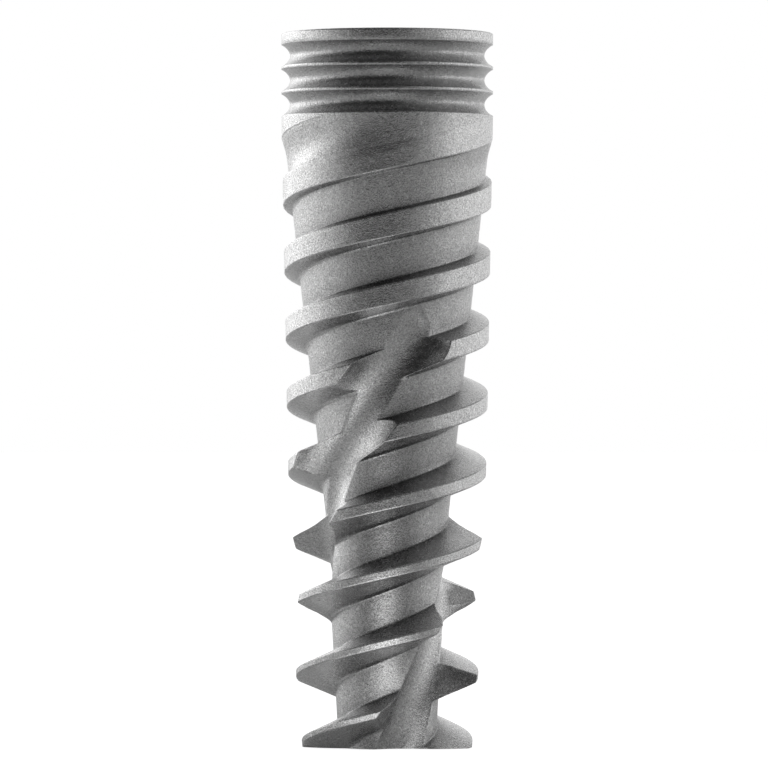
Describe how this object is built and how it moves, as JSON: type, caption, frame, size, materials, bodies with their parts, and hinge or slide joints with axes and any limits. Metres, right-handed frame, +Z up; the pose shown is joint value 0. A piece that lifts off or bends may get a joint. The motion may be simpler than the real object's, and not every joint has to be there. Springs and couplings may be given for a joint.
{
  "type": "dental implant body",
  "caption": "Tapered threaded titanium implant body with grooved collar, helical cutting flutes and internal hexagon connection, screwed into jawbone to carry a crown.",
  "frame": {"origin": "centre of the flat apex, on the implant's axis", "axes": "+Z up the implant's axis, from the apex to the platform; the thread and flutes repeat every half turn about it"},
  "size_m": [0.0038, 0.0038, 0.013],
  "materials": {
    "blasted_titanium": "titanium, sand-blasted and acid-etched to a fine matte grain"
  },
  "bodies": {
    "root": {"implant_body": "blasted_titanium"}
  },
  "joints": []
}
